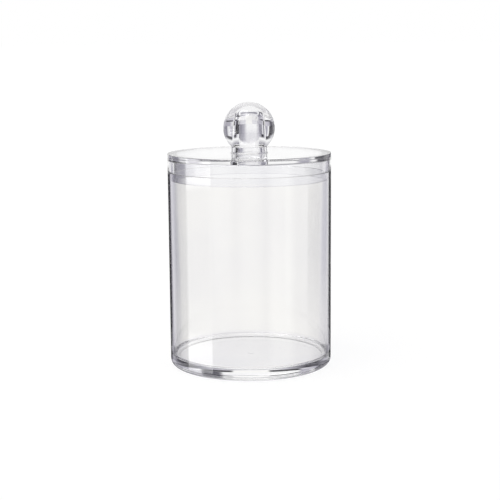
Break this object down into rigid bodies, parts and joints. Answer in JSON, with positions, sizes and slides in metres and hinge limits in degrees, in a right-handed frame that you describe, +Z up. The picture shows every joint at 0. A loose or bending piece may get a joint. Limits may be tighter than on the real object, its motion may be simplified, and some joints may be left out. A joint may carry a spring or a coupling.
{
  "type": "cotton swab jar",
  "caption": "Clear moulded cylindrical jar for cotton swabs, with a lift-off plug lid and a ball knob moulded in one with the lid and cored from below.",
  "frame": {"origin": "centre of the foot ring, on the surface that the jar stands on", "axes": "+Z up along the axis of the jar and lid; X and Y are equal, because both pieces are turned about Z"},
  "size_m": [0.075, 0.075, 0.1217],
  "materials": {
    "clear_plastic": "clear polystyrene, polished mould finish"
  },
  "bodies": {
    "root": {"jar": "clear_plastic", "lid": "clear_plastic"}
  },
  "joints": []
}
